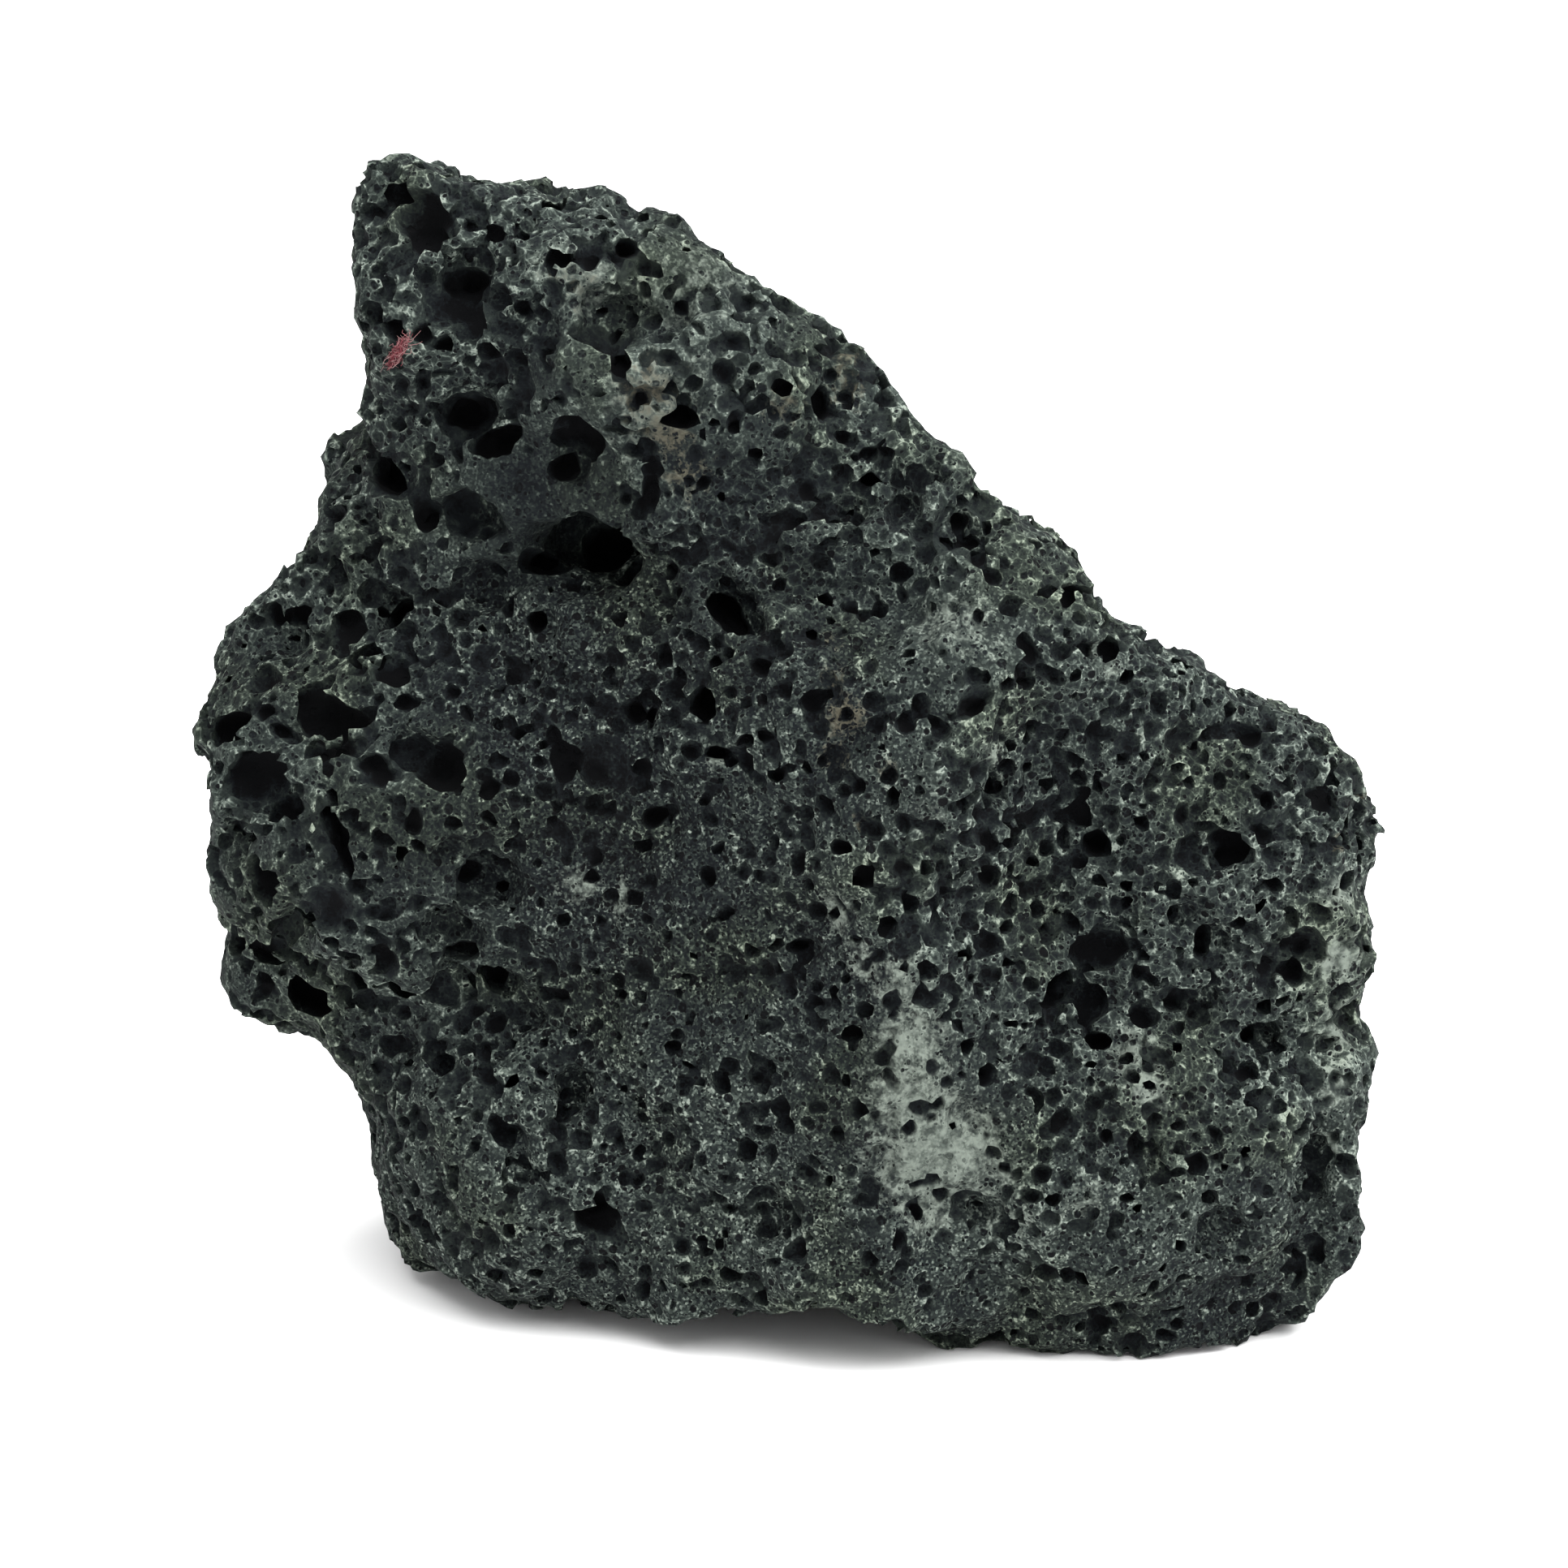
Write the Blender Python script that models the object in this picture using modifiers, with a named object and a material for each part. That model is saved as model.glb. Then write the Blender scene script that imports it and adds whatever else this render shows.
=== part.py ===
"""Lava rock: one broken chunk of black vesicular basalt that stands upright on its rough base.

The chunk has a blunt horn at the upper left, a long shoulder that falls to the right, a vertical
ridge where its two front faces meet, and gas bubbles of many sizes broken open all over.
+X is the viewer's right, -Y faces the viewer and +Z is up. Lengths below are in millimetres.
"""

import math
import random

import bmesh
import bpy
from mathutils import Euler, Matrix, Vector

MM = 0.001

# Driving dimensions of the chunk.
WIDTH = 180.0
DEPTH = 112.0
HEIGHT = 178.0
PROFILE_LEAN = math.radians(15)  # the front outline lies in a plane that leans back by this much
PROFILE_FOOT = -45.0  # where that plane meets the ground, along Y

# Mesh densities and surface roughness.
ROUGH_VOXEL = 2.6
RIM_VOXEL = 1.3
EDGE_SMOOTHING = 5
LUMP_HEIGHT, LUMP_SPACING = 4.0, 24.0
KNOB_HEIGHT, KNOB_SPACING = 3.6, 9.0
MOST_TRIANGLES = 9700

BASALT = (0.055, 0.062, 0.058, 1.0)
BASALT_ROUGHNESS = 0.9

# The front outline, clockwise from the horn's tip: (across, up) in the leaning plane.
OUTLINE = (
    (-65.5, 182.5), (-57, 182), (-52, 179), (-46, 178), (-40, 179.5), (-31, 177), (-21, 174),
    (-14.5, 168.5), (-5.5, 162), (3, 156), (11.5, 149), (17, 141.5), (20.5, 136), (26.5, 131.5), (32, 128),
    (37.5, 126), (42, 119.5), (44.5, 113), (54, 108.5), (63, 104), (75, 97.5), (83.5, 91),
    (88.5, 84), (88.5, 78), (85.5, 73), (86.5, 66), (85, 53), (88, 46), (86.5, 40), (84.5, 34),
    (85, 25), (82.5, 12.5), (77, 4), (65, 0), (50, -1), (37, 0), (21, 1.5), (14, 3.5), (8, 9),
    (3, 7.5), (-7, 9), (-17, 6), (-24.5, 3), (-34, 6.5), (-47, 7.5), (-59, 5.5), (-65.5, 18),
    (-67, 31), (-70, 40), (-71, 45), (-80, 48.5), (-90.5, 55), (-90, 66), (-94, 77),
    (-91, 86.5), (-92, 98), (-90.5, 111.5), (-82.5, 119.5), (-77.5, 124.5), (-73, 133.5), (-73, 142),
    (-66, 147), (-66, 156), (-67, 166), (-66.5, 177.5),
)

# The flat breaks that bound the chunk: (azimuth, elevation, distance) of each plane's outward
# normal, in degrees from the viewer's side towards +X, and millimetres from the chunk's middle.
MIDDLE = Vector((0, 0, 75))
BREAKS = {
    "left_front": (-24, 2, 47),
    "right_front": (25, -3, 59),
    "right_end": (84, 0, 91),
    "right_end_back": (128, 8, 72),
    "left_end": (-100, -4, 90),
    "left_end_back": (-138, 4, 70),
    "horn_end_back": (-122, 22, 86),
    "back_left": (-164, 8, 46),
    "back_right": (163, 12, 45),
    "upper_front": (-4, 26, 61),
    "upper_front_right": (38, 38, 72),
    "upper_back": (174, 38, 59),
    "upper_back_right": (126, 46, 78),
    "undercut_left": (-36, -32, 76),
    "undercut_right": (12, -24, 79),
    "undercut_back": (172, -36, 70),
    "undercut_back_left": (-128, -30, 80),
    "underside": (30, -88, 71),
}

# Swellings joined to the block: (x, y, z) of the centre, the half sizes along X, Y and Z,
# and the turn in degrees, clockwise as the viewer sees it.
LOBES = {
    "horn": ((-18, -14, 148), (44, 27, 25), 24),
    "horn_tip": ((-55, -8, 160), (18, 22, 26), 0),
    "horn_back": ((-32, 8, 146), (28, 22, 24), 20),
    "left_bulge": ((-54, -10, 80), (44, 31, 34), 0),
    "left_foot": ((-36, -16, 28), (32, 28, 30), 10),
    "ridge": ((15, -38, 70), (15, 21, 52), -4),
    "ridge_crown": ((22, -34, 108), (15, 16, 12), 30),
    "right_shoulder": ((58, -18, 72), (38, 28, 40), 0),
    "slope_knob": ((36, -8, 118), (14, 18, 14), 0),
    "right_foot": ((46, -27, 30), (38, 29, 30), 0),
    "right_lump": ((80, -24, 24), (12, 20, 30), 0),
    "back_boss": ((14, 18, 80), (44, 28, 38), 30),
    "back_left_boss": ((-50, 15, 62), (34, 26, 32), 0),
    "back_foot": ((34, 20, 26), (40, 24, 28), 0),
    "rest_front": ((44, -34, 5), (28, 13, 12), 0),
    "rest_left": ((-27, -12, 5), (17, 14, 12), 0),
    "rest_back_left": ((-38, 14, 5), (17, 13, 12), 0),
    "rest_back_right": ((46, 26, 5), (19, 14, 12), 0),
    "rest_right": ((70, -10, 5), (14, 15, 12), 0),
}

# Hollows broken out of it, in the same form.
HOLLOWS = {
    "cave": ((-33, -28, 123), (10, 18, 5.5), 4),
    "under_horn": ((-40, -50, 121), (30, 24, 9), -6),
    "under_horn_right": ((4, -56, 121), (26, 16, 7), 10),
    "neck": ((-80, -22, 138), (16, 30, 10), 20),
    "left_bowl": ((-92, -40, 84), (12, 12, 9), 0),
    "waist": ((-50, -54, 94), (32, 12, 5), 6),
    "left_undercut": ((-92, -34, 32), (24, 34, 20), 0),
    "right_face": ((38, -56, 84), (12, 15, 26), 0),
    "right_groove": ((77, -45, 24), (3.5, 10, 28), 6),
    "foot_arch": ((-2, -46, -2), (14, 34, 8), 0),
    "back_scoop": ((-44, 56, 112), (26, 18, 22), 0),
    "back_hollow": ((60, 50, 60), (22, 18, 26), -20),
    "back_groove": ((-14, 48, 40), (10, 12, 36), 14),
    "left_end_scoop": ((-98, 12, 50), (16, 18, 14), 0),
}

# The widest bubbles in the front, from the top down: (across, up) in the leaning plane,
# the half width, the half height and the turn of the opening in degrees.
FRONT_BUBBLES = (
    (-62, 176.5, 2.8, 2.2, 0), (-49.5, 165, 3.6, 3.5, 0), (-41.5, 170.5, 1.9, 2.2, 0),
    (-37, 176.5, 2, 2.6, 35), (-43, 158, 2.4, 1.6, 0), (-37.5, 155, 1.9, 2.4, 0),
    (-29, 157, 4.8, 4.1, 0), (-20.5, 156.5, 2.6, 1.9, 0), (-25.5, 170.5, 1.9, 1.6, 0),
    (-50, 144.5, 4.1, 3.3, 0), (-17, 144, 2.6, 1.9, 0), (-8, 159, 2.8, 1.6, 0),
    (-2.5, 154.5, 2.1, 2.1, 0), (4.5, 146.5, 1.9, 2.6, 0), (-61.5, 135, 4, 2.2, -38),
    (-35.5, 136, 2.6, 2.4, 0), (-50, 129.5, 3.5, 3.8, 0), (-56, 129, 2.1, 2.6, 0),
    (-39.5, 113, 2, 2.6, 0), (-22, 114.5, 2, 1.9, 0), (-10.5, 114.5, 2.2, 5.2, 38),
    (-13.5, 100.5, 2.2, 3.1, 0), (-11.5, 93, 2.2, 1.6, 0), (11.5, 135, 2.2, 1.6, 0),
    (5.5, 130, 2.4, 2.6, 0), (15.5, 129.5, 1.9, 2.6, 0), (24, 127.5, 2.4, 3.1, 0),
    (9.5, 121, 1.8, 1.9, 0), (4, 122, 2.1, 1.6, 0), (44.5, 108.5, 1.8, 1.8, 0),
    (32.5, 91, 1.9, 1.9, 0), (46, 79, 2.1, 1.7, 0), (61, 77.5, 3.2, 3.1, 0),
    (65, 96.5, 2, 1.6, 0), (73, 90.5, 2.4, 1.6, 0), (37, 69, 1.8, 1.8, 0),
    (46.5, 66, 2, 1.8, 0), (57, 69, 2.4, 2.1, 0), (62, 65, 1.9, 2.4, 0),
    (40.5, 57.5, 3.1, 2.1, -38), (47, 49, 2, 1.6, 0), (59.5, 55.5, 2.8, 1.9, 0),
    (70, 50.5, 2.7, 2.4, 0), (52.5, 33, 1.6, 2.9, 0), (69, 38.5, 2, 1.8, 0),
    (1, 63.5, 2.2, 1.4, 0), (26.5, 24, 2.6, 2.2, 0), (11, 24.5, 2.2, 1.6, 0),
    (-78.5, 110, 1.9, 1.9, 0), (-73.5, 102.5, 1.8, 1.4, 0), (-58.5, 100.5, 2.6, 1.4, 0),
    (-77.5, 96, 2.6, 1.6, 25), (-58, 93.5, 3.1, 2.5, 0), (-24.5, 99, 1.8, 1.8, 0),
    (-21.5, 83, 1.8, 1.8, 0), (-82, 87, 4.1, 3.3, 0), (-76, 77.5, 1.9, 1.7, 0),
    (-70.5, 82, 1.3, 3.7, 15), (-53, 78.5, 2.1, 1.6, 0), (-47.5, 73.5, 4.1, 3.7, 0),
    (-77.5, 66.5, 3, 3.1, 0), (-53.5, 66, 4.1, 3.1, 0), (-53.5, 57.5, 3.5, 3.2, 0),
    (-45.5, 59, 2, 2.8, 0), (-80.5, 59, 1.8, 1.9, 0), (-65.5, 55, 1.9, 1.6, 0),
    (-42, 54, 1.9, 2.4, 0), (-61.5, 48.5, 2.4, 1.8, 0), (-54, 45.5, 2.1, 1.7, 0),
    (-44, 35, 2.1, 2.4, 0),
)
RIM_FLARE = 1.3  # a rim breaks back to a wider opening than the bubble under it
HOLLOW_SHARE = 1.0  # a bubble's depth against its half width
# Bubbles over the rest of the chunk, by a seeded draw.
BUBBLE_SEED = 27
SIDE_BUBBLES = 150
BUBBLE_SIZE = (2.4, 6.2)
FRONT_CONE = math.cos(math.radians(50))  # the front has its own bubbles, so the draw leaves it out


def clear_scene():
    """Remove whatever the file holds, and give the stone and its cutters their collections."""
    for old in list(bpy.data.objects):
        bpy.data.objects.remove(old)
    made = {}
    for name in ("lava_rock", "cutters", "bubbles"):
        made[name] = bpy.data.collections.new(name)
        bpy.context.scene.collection.children.link(made[name])
    return made


def place(obj, collection, helper=False):
    """Put an object in one collection. A helper shapes the stone and isn't part of it."""
    for old in list(obj.users_collection):
        old.objects.unlink(obj)
    collection.objects.link(obj)
    obj.hide_render = helper
    if helper:
        obj.display_type = "WIRE"
    return obj


def outward(azimuth, elevation):
    """The direction at an azimuth from the viewer's side towards +X, and an elevation, in degrees."""
    a, e = math.radians(azimuth), math.radians(elevation)
    return Vector((math.sin(a) * math.cos(e), -math.cos(a) * math.cos(e), math.sin(e)))


def profile_point(across, up, back=0.0):
    """A point of the leaning profile plane, moved back from it along its normal, in metres."""
    rise = Vector((0, math.sin(PROFILE_LEAN), math.cos(PROFILE_LEAN)))
    inward = Vector((0, math.cos(PROFILE_LEAN), -math.sin(PROFILE_LEAN)))
    foot = Vector((0, PROFILE_FOOT, 0))
    return (foot + Vector((across, 0, 0)) + rise * up + inward * back) * MM


def broken_block(collection):
    """A block with a flat break along each of BREAKS."""
    mesh = bpy.data.meshes.new("lava_rock")
    block = place(bpy.data.objects.new("lava_rock", mesh), collection)
    bm = bmesh.new()
    size = Vector((WIDTH * 1.1, DEPTH * 1.2, HEIGHT * 1.1)) * MM
    centre = Vector((0, 0, HEIGHT / 2)) * MM
    bmesh.ops.create_cube(bm, size=1.0, matrix=Matrix.Translation(centre) @ Matrix.Diagonal((*size, 1)))
    for azimuth, elevation, distance in BREAKS.values():
        normal = outward(azimuth, elevation)
        cut = bmesh.ops.bisect_plane(
            bm,
            geom=bm.verts[:] + bm.edges[:] + bm.faces[:],
            plane_co=(MIDDLE + normal * distance) * MM,
            plane_no=normal,
            clear_outer=True,
        )
        rim = [e for e in cut["geom_cut"] if isinstance(e, bmesh.types.BMEdge)]
        if rim:
            bmesh.ops.edgeloop_fill(bm, edges=rim)
    bmesh.ops.recalc_face_normals(bm, faces=bm.faces)
    bm.to_mesh(mesh)
    bm.free()
    return block


def ellipsoid(name, centre, half_sizes, collection, turn=None, detail=3):
    """A helper ellipsoid, with its centre and half sizes in millimetres."""
    bpy.ops.mesh.primitive_ico_sphere_add(subdivisions=detail, radius=MM, location=Vector(centre) * MM)
    ball = bpy.context.object
    ball.name = name
    ball.scale = half_sizes
    if turn:
        ball.rotation_euler = turn
    return place(ball, collection, helper=True)


def turned(degrees):
    """A turn about Y, clockwise as the viewer sees it."""
    return Euler((0, math.radians(degrees), 0))


def outline_prism(collection):
    """The front outline as a long prism square to its leaning plane."""
    flat = bpy.data.curves.new("outline", "CURVE")
    flat.dimensions = "2D"
    flat.fill_mode = "BOTH"
    flat.extrude = 1.4 * DEPTH * MM
    line = flat.splines.new("POLY")
    line.points.add(len(OUTLINE) - 1)
    for point, (across, up) in zip(line.points, OUTLINE):
        point.co = (across * MM, up * MM, 0, 1)
    line.use_cyclic_u = True
    curve = bpy.data.objects.new("outline_curve", flat)
    curve.rotation_euler = (math.pi / 2 - PROFILE_LEAN, 0, 0)
    curve.location = profile_point(0, 0)
    place(curve, collection, helper=True)
    bpy.context.view_layer.update()
    mesh = bpy.data.meshes.new_from_object(curve.evaluated_get(bpy.context.evaluated_depsgraph_get()))
    bm = bmesh.new()
    bm.from_mesh(mesh)
    bmesh.ops.remove_doubles(bm, verts=bm.verts, dist=0.01 * MM)
    bmesh.ops.recalc_face_normals(bm, faces=bm.faces)
    bm.to_mesh(mesh)
    bm.free()
    prism = bpy.data.objects.new("outline_prism", mesh)
    prism.matrix_world = curve.matrix_world
    bpy.data.objects.remove(curve)
    return place(prism, collection, helper=True)


def boolean(stone, operation, other):
    """Join, cut or trim the stone with one helper, or with all the helpers of a collection."""
    step = stone.modifiers.new(operation.lower(), "BOOLEAN")
    step.operation = operation
    if isinstance(other, bpy.types.Collection):
        step.operand_type = "COLLECTION"
        step.collection = other
    else:
        step.object = other


def melt(stone, name, voxel):
    """Rebuild the stone's surface as one even skin."""
    skin = stone.modifiers.new(name, "REMESH")
    skin.mode = "VOXEL"
    skin.voxel_size = voxel * MM
    skin.use_smooth_shade = True


def roughen(stone):
    """Melt the joined blocks into one surface, round its edges and raise lumps and knobs on it."""
    melt(stone, "melt_blocks", ROUGH_VOXEL)
    ease = stone.modifiers.new("round_edges", "SMOOTH")
    ease.factor = 0.6
    ease.iterations = EDGE_SMOOTHING
    for name, height, spacing in (
        ("lumps", LUMP_HEIGHT, LUMP_SPACING),
        ("knobs", KNOB_HEIGHT, KNOB_SPACING),
    ):
        grain = bpy.data.textures.new(name, "CLOUDS")
        grain.noise_scale = spacing * MM
        grain.noise_depth = 2
        raised = stone.modifiers.new(name, "DISPLACE")
        raised.texture = grain
        raised.texture_coords = "LOCAL"
        raised.strength = height * MM
        raised.mid_level = 0.5


def surface_hit(stone, start, direction):
    """(point, normal) where a ray first meets the stone as its modifiers leave it, or None."""
    evaluated = stone.evaluated_get(bpy.context.evaluated_depsgraph_get())
    found, point, normal, _ = evaluated.ray_cast(start, direction)
    return (point, normal) if found else None


def sink_bubble(name, point, normal, half_sizes, turn, collection):
    """A bubble cutter at a surface point: its middle lies a little below the surface."""
    across, up = half_sizes
    depth = HOLLOW_SHARE * max(across, up)
    facing = normal.to_track_quat("Z", "Y").to_matrix()
    spin = Euler((0, 0, turn)).to_matrix()
    centre = point / MM - normal * depth * 0.3
    return ellipsoid(
        name, centre, (across, up, depth), collection, (facing @ spin).to_euler(), detail=2
    )


def front_bubbles(stone, collection):
    """The widest bubbles of the front, each where its place in the outline meets the stone."""
    inward = Vector((0, math.cos(PROFILE_LEAN), -math.sin(PROFILE_LEAN)))
    for i, (across, up, half_width, half_height, turn) in enumerate(FRONT_BUBBLES):
        hit = surface_hit(stone, profile_point(across, up, back=-2 * DEPTH), inward)
        if hit is None:
            continue
        point, _ = hit
        opening = (half_width * RIM_FLARE, half_height * RIM_FLARE)
        sink_bubble(f"front_bubble_{i}", point, -inward, opening, math.radians(turn), collection)


def side_bubbles(stone, collection):
    """Bubbles over the back, the ends, the top and the underside."""
    draw = random.Random(BUBBLE_SEED)
    middle = MIDDLE * MM
    made = 0
    while made < SIDE_BUBBLES:
        direction = Vector([draw.gauss(0, 1) for _ in range(3)]).normalized()
        size = draw.uniform(*BUBBLE_SIZE) * draw.uniform(0.7, 1.0)
        stretch, turn = draw.uniform(0.65, 1.0), draw.uniform(0, math.tau)
        if -direction.y > FRONT_CONE:
            continue
        aim = middle + Vector([draw.uniform(-45, 45) * MM, draw.uniform(-15, 15) * MM, draw.uniform(-40, 40) * MM])
        hit = surface_hit(stone, aim + direction * 2 * WIDTH * MM, -direction)
        made += 1
        if hit:
            point, normal = hit
            sink_bubble(f"side_bubble_{made}", point, normal, (size, size * stretch), turn, collection)


def ground_block(collection):
    """Everything below the level that the stone rests on."""
    bpy.ops.mesh.primitive_cube_add(size=1.0)
    ground = bpy.context.object
    ground.name = "ground"
    ground.scale = (2 * WIDTH * MM, 2 * WIDTH * MM, WIDTH * MM)
    ground.location = (0, 0, -WIDTH / 2 * MM)
    return place(ground, collection, helper=True)


def thin_out(stone):
    """Fewer triangles where the surface is plain."""
    bpy.context.view_layer.update()
    evaluated = stone.evaluated_get(bpy.context.evaluated_depsgraph_get())
    evaluated.data.calc_loop_triangles()
    thin = stone.modifiers.new("thin_out", "DECIMATE")
    thin.ratio = min(1.0, MOST_TRIANGLES / len(evaluated.data.loop_triangles))


def centre_on_base(stone):
    """Carry the stone and its helpers so that the origin is the middle of its box, on the ground."""
    bpy.context.view_layer.update()
    evaluated = stone.evaluated_get(bpy.context.evaluated_depsgraph_get())
    corners = [evaluated.matrix_world @ v.co for v in evaluated.data.vertices]
    low = Vector([min(c[i] for c in corners) for i in range(3)])
    high = Vector([max(c[i] for c in corners) for i in range(3)])
    carrier = bpy.data.objects.new("carrier", None)
    bpy.context.scene.collection.objects.link(carrier)
    for obj in list(bpy.data.objects):
        if obj != carrier:
            obj.parent = carrier
    carrier.location = (-(low.x + high.x) / 2, -(low.y + high.y) / 2, -low.z)


def basalt():
    stuff = bpy.data.materials.new("basalt")
    stuff.use_nodes = True
    shader = stuff.node_tree.nodes["Principled BSDF"]
    shader.inputs["Base Color"].default_value = BASALT
    shader.inputs["Roughness"].default_value = BASALT_ROUGHNESS
    shader.inputs["Metallic"].default_value = 0.0
    return stuff


def main():
    collections = clear_scene()
    cutters = collections["cutters"]
    stone = broken_block(collections["lava_rock"])
    for name, (centre, half_sizes, turn) in LOBES.items():
        boolean(stone, "UNION", ellipsoid(name, centre, half_sizes, cutters, turned(turn)))
    boolean(stone, "INTERSECT", outline_prism(cutters))
    for name, (centre, half_sizes, turn) in HOLLOWS.items():
        boolean(stone, "DIFFERENCE", ellipsoid(name, centre, half_sizes, cutters, turned(turn)))
    roughen(stone)
    bpy.context.view_layer.update()
    front_bubbles(stone, collections["bubbles"])
    side_bubbles(stone, collections["bubbles"])
    boolean(stone, "DIFFERENCE", collections["bubbles"])
    melt(stone, "melt_rims", RIM_VOXEL)
    thin_out(stone)
    boolean(stone, "DIFFERENCE", ground_block(cutters))
    stone.data.materials.append(basalt())
    centre_on_base(stone)


main()
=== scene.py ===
import math

import bpy
import numpy as np
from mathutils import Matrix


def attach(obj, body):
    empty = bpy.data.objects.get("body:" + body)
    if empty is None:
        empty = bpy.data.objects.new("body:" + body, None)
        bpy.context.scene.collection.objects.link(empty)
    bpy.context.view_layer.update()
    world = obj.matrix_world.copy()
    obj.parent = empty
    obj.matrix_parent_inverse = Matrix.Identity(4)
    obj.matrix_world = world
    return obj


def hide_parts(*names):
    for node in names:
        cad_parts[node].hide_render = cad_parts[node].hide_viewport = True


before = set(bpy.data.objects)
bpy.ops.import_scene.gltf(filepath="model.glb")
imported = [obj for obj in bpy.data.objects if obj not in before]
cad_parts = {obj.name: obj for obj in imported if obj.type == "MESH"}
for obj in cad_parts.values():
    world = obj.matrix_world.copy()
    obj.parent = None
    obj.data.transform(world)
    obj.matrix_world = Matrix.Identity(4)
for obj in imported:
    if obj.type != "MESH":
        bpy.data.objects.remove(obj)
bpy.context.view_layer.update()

import openvdb as vdb
from mathutils import Vector

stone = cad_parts["lava_rock"]
mm = 0.001
print("frame loaded")


# places on the side that is seen are given as across and up: mm in the camera's view, as long as they
# are at the distance of its target
shot = {
    "lens": 135.0,  # mm
    "sensor": 36.0,  # mm
    "elevation": 15.0,  # degrees above the level
    "target": (-1.0, -22.0, 85.8),  # mm, seen in the middle of the view
    "width": 239.0,  # mm that the view spans at the target
    "middle": (-1.5, 88.3),  # the view's middle, across and up
    "nearest": 0.05,  # m, what is closer isn't drawn
    "searched": (-90, 90, 0.25),  # mm from the target, where a line of sight looks for the stone
}

tilt = math.radians(shot["elevation"])
sightLine = np.array((0, math.cos(tilt), -math.sin(tilt)))
viewRight = np.array((1.0, 0, 0))
viewUp = np.array((0, math.sin(tilt), math.cos(tilt)))
shotDistance = shot["width"] * shot["lens"] / shot["sensor"]
shotPlace = np.array(shot["target"]) - sightLine * shotDistance


def makeCamera():
    data = bpy.data.cameras.new("camera")
    data.lens = shot["lens"]
    data.sensor_width = shot["sensor"]
    data.clip_start = shot["nearest"]
    camera = bpy.data.objects.new("camera", data)
    camera.location = shotPlace * mm
    camera.rotation_euler = Vector(sightLine).to_track_quat("-Z", "Y").to_euler()
    bpy.context.scene.collection.objects.link(camera)
    bpy.context.scene.camera = camera


# the direction of the line of sight through a place in the view
def sightThrough(across, up):
    aim = np.array(shot["target"])
    aim = aim + viewRight * (across - shot["middle"][0]) + viewUp * (up - shot["middle"][1])
    ray = aim - shotPlace
    return ray / np.linalg.norm(ray)


# where in the view places on the stone are
def inView(points):
    away = points - shotPlace
    scale = shotDistance / (away @ sightLine)
    across = (away @ viewRight) * scale + shot["middle"][0]
    up = (away @ viewUp) * scale + shot["middle"][1]
    return across, up


makeCamera()
print("camera set")


carving = {
    "cell": 0.5,  # mm, one voxel
    "quickCell": 0.8,
    "band": 8.0,  # mm of true distance each side of the skin
    "margin": 10,  # voxels left free round the stone
    "softening": 2,  # voxels each way, melts the solid's flat faces
    "evening": 6.0,  # mm each way, leaves only the broad shape
    "lumps": ((12.0, 1.3), (5.6, 1.0), (2.6, 0.75), (1.3, 0.32)),  # spacing and height in mm
    "changes": 26.0,  # mm over which the unseen sides turn from coarse to fine
    "feltOver": 2.0,  # mm each way, to tell which way the stone faces
    "cutOff": 0.01,  # mm, puts what is under the ground just outside
    "seed": 11,
}
cell = carving["cell"]
draw = np.random.default_rng(carving["seed"])
leastLength = 1e-6  # so that a direction without a length isn't divided by zero


# values on a box of voxels, asked for by places in mm
class Field:
    def __init__(self, low, values):
        self.low = low
        self.values = values

    def at(self, places):
        spot = places / cell - self.low
        base = np.clip(np.floor(spot).astype(int), 0, np.array(self.values.shape) - 2)
        part = np.clip(spot - base, 0, 1)
        total = np.zeros(len(places))
        for corner in np.ndindex(2, 2, 2):
            weight = np.prod(np.where(corner, part, 1 - part), axis=1)
            x, y, z = (base + corner).T
            total += weight * self.values[x, y, z]
        return total

    # direction of the steepest rise, felt out so many mm each way
    def slope(self, places, reach=1.0):
        steps = np.eye(3) * reach
        rise = np.stack([self.at(places + s) - self.at(places - s) for s in steps], axis=1)
        return rise / np.maximum(np.linalg.norm(rise, axis=1, keepdims=True), leastLength)


# the places of a mesh's points, and the three points of each triangle
def meshArrays(mesh):
    mesh.calc_loop_triangles()
    points = np.empty(len(mesh.vertices) * 3, np.float32)
    mesh.vertices.foreach_get("co", points)
    corners = np.empty(len(mesh.loop_triangles) * 3, np.int32)
    mesh.loop_triangles.foreach_get("vertices", corners)
    return points.reshape(-1, 3), corners.reshape(-1, 3)


# mm from the skin of a closed mesh, below zero inside it
def distanceField(mesh):
    points, corners = meshArrays(mesh)
    points = points / mm / cell
    low = np.floor(points.min(0)).astype(int) - carving["margin"]
    high = np.ceil(points.max(0)).astype(int) + carving["margin"]
    grid = vdb.FloatGrid.createLevelSetFromPolygons(
        points,
        triangles=corners.astype(np.uint32),
        transform=vdb.createLinearTransform(1.0),
        halfWidth=carving["band"] / cell,
    )
    values = np.empty(tuple(high - low), np.float32)
    grid.copyToArray(values, ijk=tuple(int(v) for v in low))
    return Field(low, values * np.float32(cell))


# points in mm and quads where a field passes through zero
def surfaceOf(field):
    grid = vdb.FloatGrid(carving["band"])
    grid.copyFromArray(field.values, ijk=tuple(int(v) for v in field.low))
    points, _, quads = grid.convertToPolygons(isovalue=0.0, adaptivity=0.0)
    return points * cell, quads


# mean over a cube that reaches so many voxels each way
def evened(values, reach):
    span = 2 * reach + 1
    for axis in range(3):
        sums = np.moveaxis(np.cumsum(values, axis=axis, dtype=np.float32), axis, 0)
        mean = values.copy()
        np.moveaxis(mean, axis, 0)[reach + 1 : -reach] = (sums[span:] - sums[:-span]) / span
        values = mean
    return values


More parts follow.
